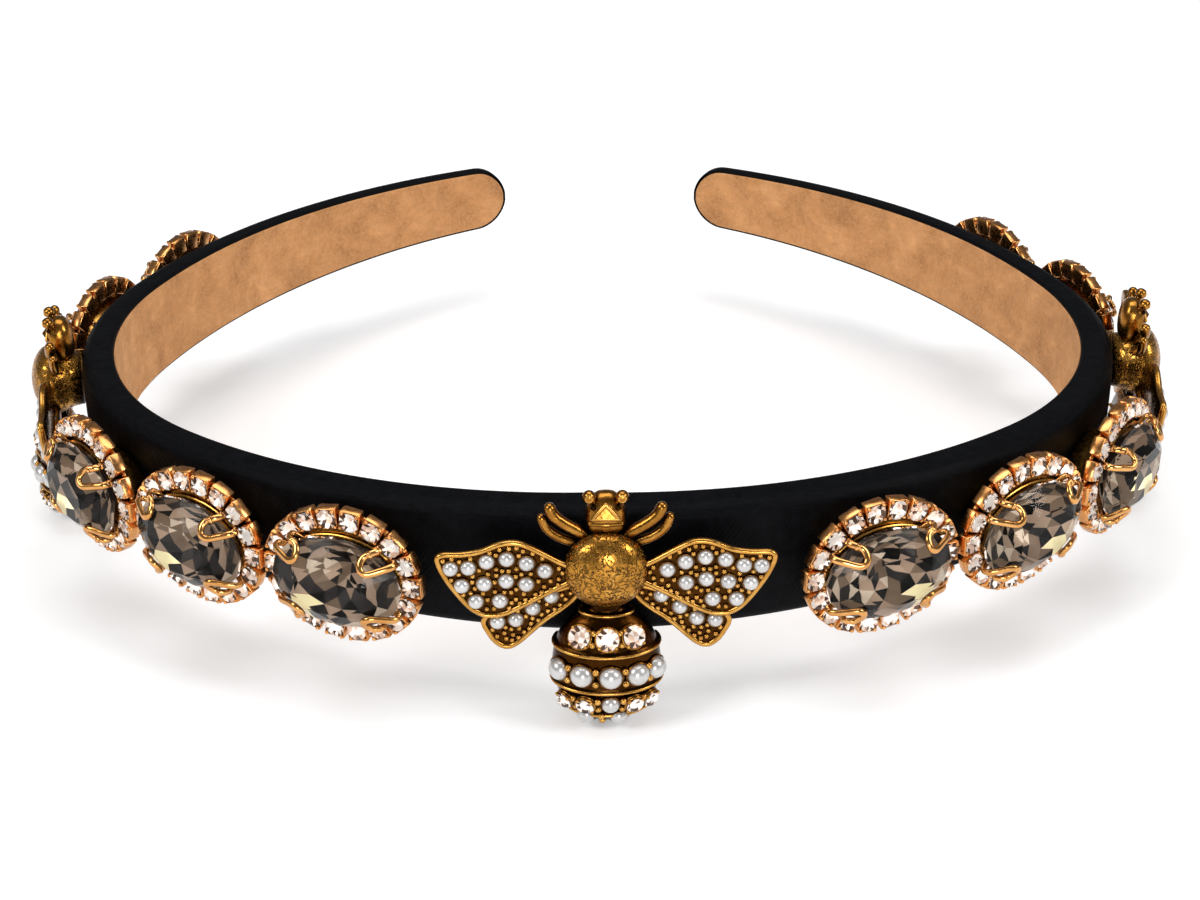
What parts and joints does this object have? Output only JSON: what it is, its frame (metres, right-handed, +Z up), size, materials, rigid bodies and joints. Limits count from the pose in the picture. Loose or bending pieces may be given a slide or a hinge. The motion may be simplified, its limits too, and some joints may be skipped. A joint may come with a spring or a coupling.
{
  "type": "jewelled bee headband",
  "caption": "Padded alice headband with a satin outside and a suede lining, set with cast winged bees and oval cut stones in rings of small rhinestones.",
  "frame": {"origin": "below the middle of the whole object, on the surface that it lies on", "axes": "+Z up from that surface, -Y towards the front bee, +Y towards the open ends, +X to the right as the front is seen"},
  "size_m": [0.1742, 0.148, 0.0338],
  "materials": {
    "black_satin": "woven satin with a faint sheen",
    "suede_lining": "matt napped suede",
    "antique_gold": "polished with dark recesses",
    "rose_gold": "polished plating",
    "smoky_glass": "cut and polished"
  },
  "bodies": {
    "root": {"band": "black_satin", "bee_front": "antique_gold", "bee_left": "antique_gold", "bee_right": "antique_gold", "lining": "suede_lining", "oval_left_1_ring": "rose_gold", "oval_left_1_setting": "antique_gold", "oval_left_1_stone": "smoky_glass", "oval_left_2_ring": "rose_gold", "oval_left_2_setting": "antique_gold", "oval_left_2_stone": "smoky_glass", "oval_left_3_ring": "rose_gold", "oval_left_3_setting": "antique_gold", "oval_left_3_stone": "smoky_glass", "oval_left_4_ring": "rose_gold", "oval_left_4_setting": "antique_gold", "oval_left_4_stone": "smoky_glass", "oval_left_5_ring": "rose_gold", "oval_left_5_setting": "antique_gold", "oval_left_5_stone": "smoky_glass", "oval_right_1_ring": "rose_gold", "oval_right_1_setting": "antique_gold", "oval_right_1_stone": "smoky_glass", "oval_right_2_ring": "rose_gold", "oval_right_2_setting": "antique_gold", "oval_right_2_stone": "smoky_glass", "oval_right_3_ring": "rose_gold", "oval_right_3_setting": "antique_gold", "oval_right_3_stone": "smoky_glass", "oval_right_4_ring": "rose_gold", "oval_right_4_setting": "antique_gold", "oval_right_4_stone": "smoky_glass", "oval_right_5_ring": "rose_gold", "oval_right_5_setting": "antique_gold", "oval_right_5_stone": "smoky_glass"}
  },
  "joints": []
}
